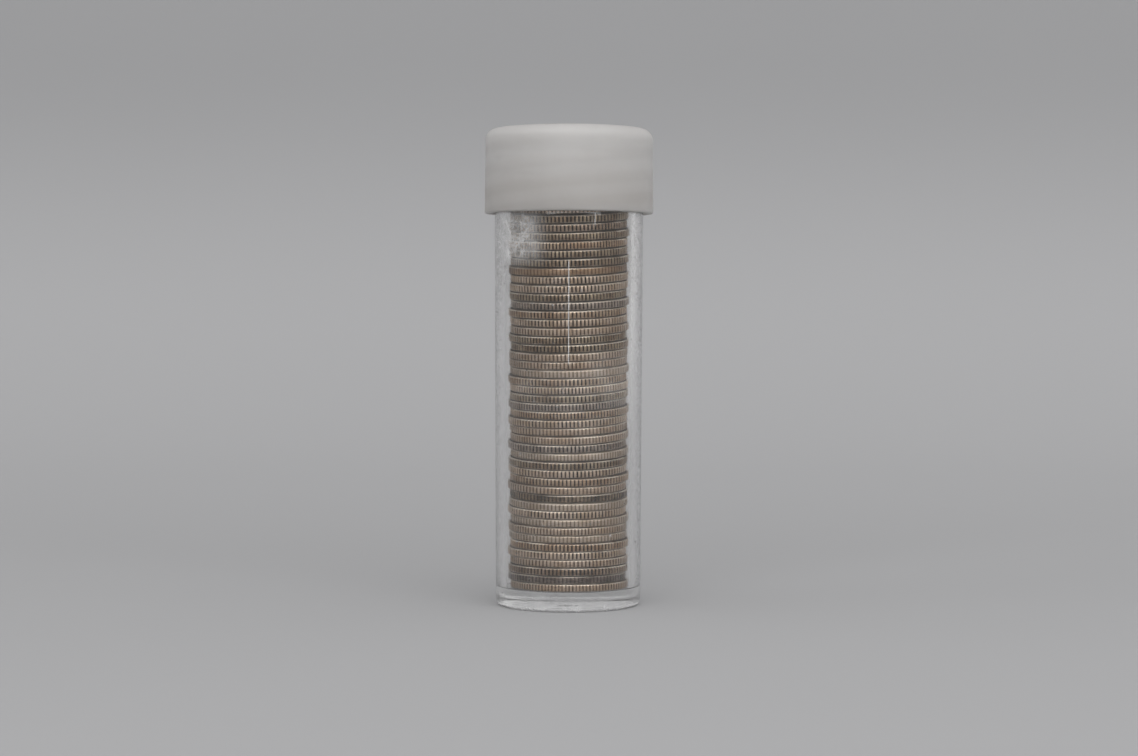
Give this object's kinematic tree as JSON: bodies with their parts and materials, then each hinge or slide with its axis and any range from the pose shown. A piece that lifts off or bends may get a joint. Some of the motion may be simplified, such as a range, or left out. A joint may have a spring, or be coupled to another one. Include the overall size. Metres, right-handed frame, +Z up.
{
  "type": "coin tube",
  "caption": "Clear round moulded coin tube with a smooth milky screw cap, filled with a stack of worn reeded coins lying on one another.",
  "frame": {"origin": "middle of the foot ring, on the plane that the tube stands on", "axes": "+Z up along the tube's axis, towards the cap; -Y is the side that the picture shows"},
  "size_m": [0.0254, 0.0254, 0.0719],
  "materials": {
    "clear_plastic": "gloss",
    "milky_plastic": "satin",
    "worn_silver": "satin"
  },
  "bodies": {
    "tube": {"tube": "clear_plastic"},
    "bottom_coin": {"coin_01": "worn_silver"},
    "coin_stack": {"coin_02": "worn_silver", "coin_03": "worn_silver", "coin_04": "worn_silver", "coin_05": "worn_silver", "coin_06": "worn_silver", "coin_07": "worn_silver", "coin_08": "worn_silver", "coin_09": "worn_silver", "coin_10": "worn_silver", "coin_11": "worn_silver", "coin_12": "worn_silver", "coin_13": "worn_silver", "coin_14": "worn_silver", "coin_15": "worn_silver", "coin_16": "worn_silver", "coin_17": "worn_silver", "coin_18": "worn_silver", "coin_19": "worn_silver", "coin_20": "worn_silver", "coin_21": "worn_silver", "coin_22": "worn_silver", "coin_23": "worn_silver", "coin_24": "worn_silver", "coin_25": "worn_silver", "coin_26": "worn_silver", "coin_27": "worn_silver", "coin_28": "worn_silver", "coin_29": "worn_silver", "coin_30": "worn_silver", "coin_31": "worn_silver", "coin_32": "worn_silver", "coin_33": "worn_silver", "coin_34": "worn_silver", "coin_35": "worn_silver", "coin_36": "worn_silver", "coin_37": "worn_silver", "coin_38": "worn_silver", "coin_39": "worn_silver", "coin_40": "worn_silver", "coin_41": "worn_silver", "coin_42": "worn_silver", "coin_43": "worn_silver", "coin_44": "worn_silver", "coin_45": "worn_silver", "coin_46": "worn_silver", "coin_47": "worn_silver", "coin_48": "worn_silver", "coin_49": "worn_silver", "coin_50": "worn_silver"},
    "cap": {"cap": "milky_plastic"}
  },
  "joints": [
    {"name": "cap_turn", "type": "hinge", "parent": "tube", "child": "bottom_coin", "pos_m": [0, 0, 0], "axis": [0, 0, 1], "range_deg": [0, 1080]},
    {"name": "cap_lift", "type": "slide", "parent": "bottom_coin", "child": "cap", "axis": [0, 0, 1], "range_m": [0, 0.0198]},
    {"name": "coin_slide", "type": "slide", "parent": "bottom_coin", "child": "coin_stack", "axis": [0, 0, 1], "range_m": [0, 0.0032]}
  ],
  "couplings": [
    {"joint": "cap_lift", "follows": "cap_turn", "m_per_rad": 0.0010504}
  ]
}
